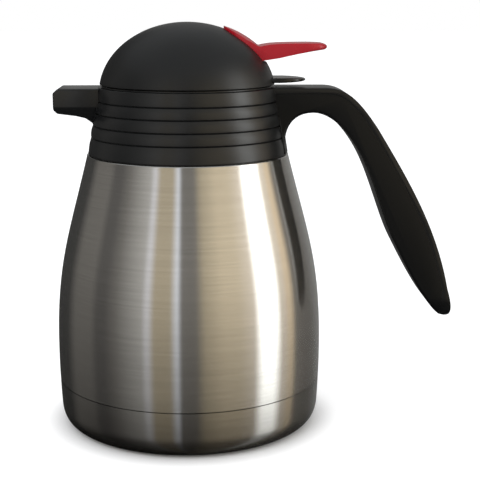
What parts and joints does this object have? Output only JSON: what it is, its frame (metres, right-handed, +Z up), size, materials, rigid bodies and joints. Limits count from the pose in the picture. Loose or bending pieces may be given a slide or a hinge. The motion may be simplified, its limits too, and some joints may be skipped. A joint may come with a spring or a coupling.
{
  "type": "thermal carafe",
  "caption": "Double-walled steel thermal carafe with a spouted collar, an open handle and a screw-in domed lid whose lever lifts a sprung valve.",
  "frame": {"origin": "on the flask's axis, in the plane that its foot stands on", "axes": "+Z up along the flask's axis; the handle points along +X and the spout along -X; Y is across the carafe"},
  "size_m": [0.1951, 0.1302, 0.1962],
  "materials": {
    "black_plastic": "satin moulded, fine grain",
    "brushed_steel": "brushed round the body, satin",
    "getter_alloy": "pressed metal powder in a cup",
    "inner_plastic": "plain moulded",
    "liner_steel": "bright rolled steel",
    "pad_rubber": "matt moulded rubber",
    "red_plastic": "satin moulded",
    "screw_steel": "bright turned steel",
    "silicone": "matt silicone",
    "valve_plastic": "plain moulded"
  },
  "bodies": {
    "vessel": {"outer_shell": "brushed_steel", "base_cup": "brushed_steel", "base_pad": "pad_rubber", "inner_liner": "liner_steel", "getter": "getter_alloy", "vacuum_seal": "liner_steel", "collar": "black_plastic", "neck_ring": "inner_plastic", "neck_gasket": "silicone", "handle_shell": "black_plastic", "handle_back": "black_plastic", "handle_screws": "screw_steel"},
    "stopper_seal": {"rim_gasket": "pad_rubber", "stopper_gasket": "silicone"},
    "lid": {"stopper_body": "black_plastic", "lid_bridge": "inner_plastic", "bridge_screws": "screw_steel", "dome_shell": "black_plastic", "lever_pin": "screw_steel", "stem_seal": "silicone", "valve_spring": "screw_steel"},
    "lever": {"lever": "red_plastic"},
    "valve": {"valve_stem": "valve_plastic", "valve_disc": "valve_plastic", "valve_seal": "silicone"}
  },
  "joints": [
    {"name": "lid_lift", "type": "slide", "parent": "vessel", "child": "stopper_seal", "axis": [0, 0, 1], "range_m": [0, 0.06]},
    {"name": "lid_turn", "type": "hinge", "parent": "stopper_seal", "child": "lid", "pos_m": [0, 0, 0.15], "axis": [0, 0, 1], "range_deg": [0, 180]},
    {"name": "lever_press", "type": "hinge", "parent": "lid", "child": "lever", "pos_m": [0.03, 0, 0.176], "axis": [0, 1, 0], "range_deg": [0, 7], "stiffness_Nm_per_rad": 0.6, "springref_deg": -6.88},
    {"name": "valve_lift", "type": "slide", "parent": "lid", "child": "valve", "axis": [0, 0, 1], "range_m": [0, 0.0042], "deforming": ["valve_spring"]}
  ],
  "couplings": [
    {"joint": "valve_lift", "follows": "lever_press", "m_per_rad": 0.0295}
  ]
}
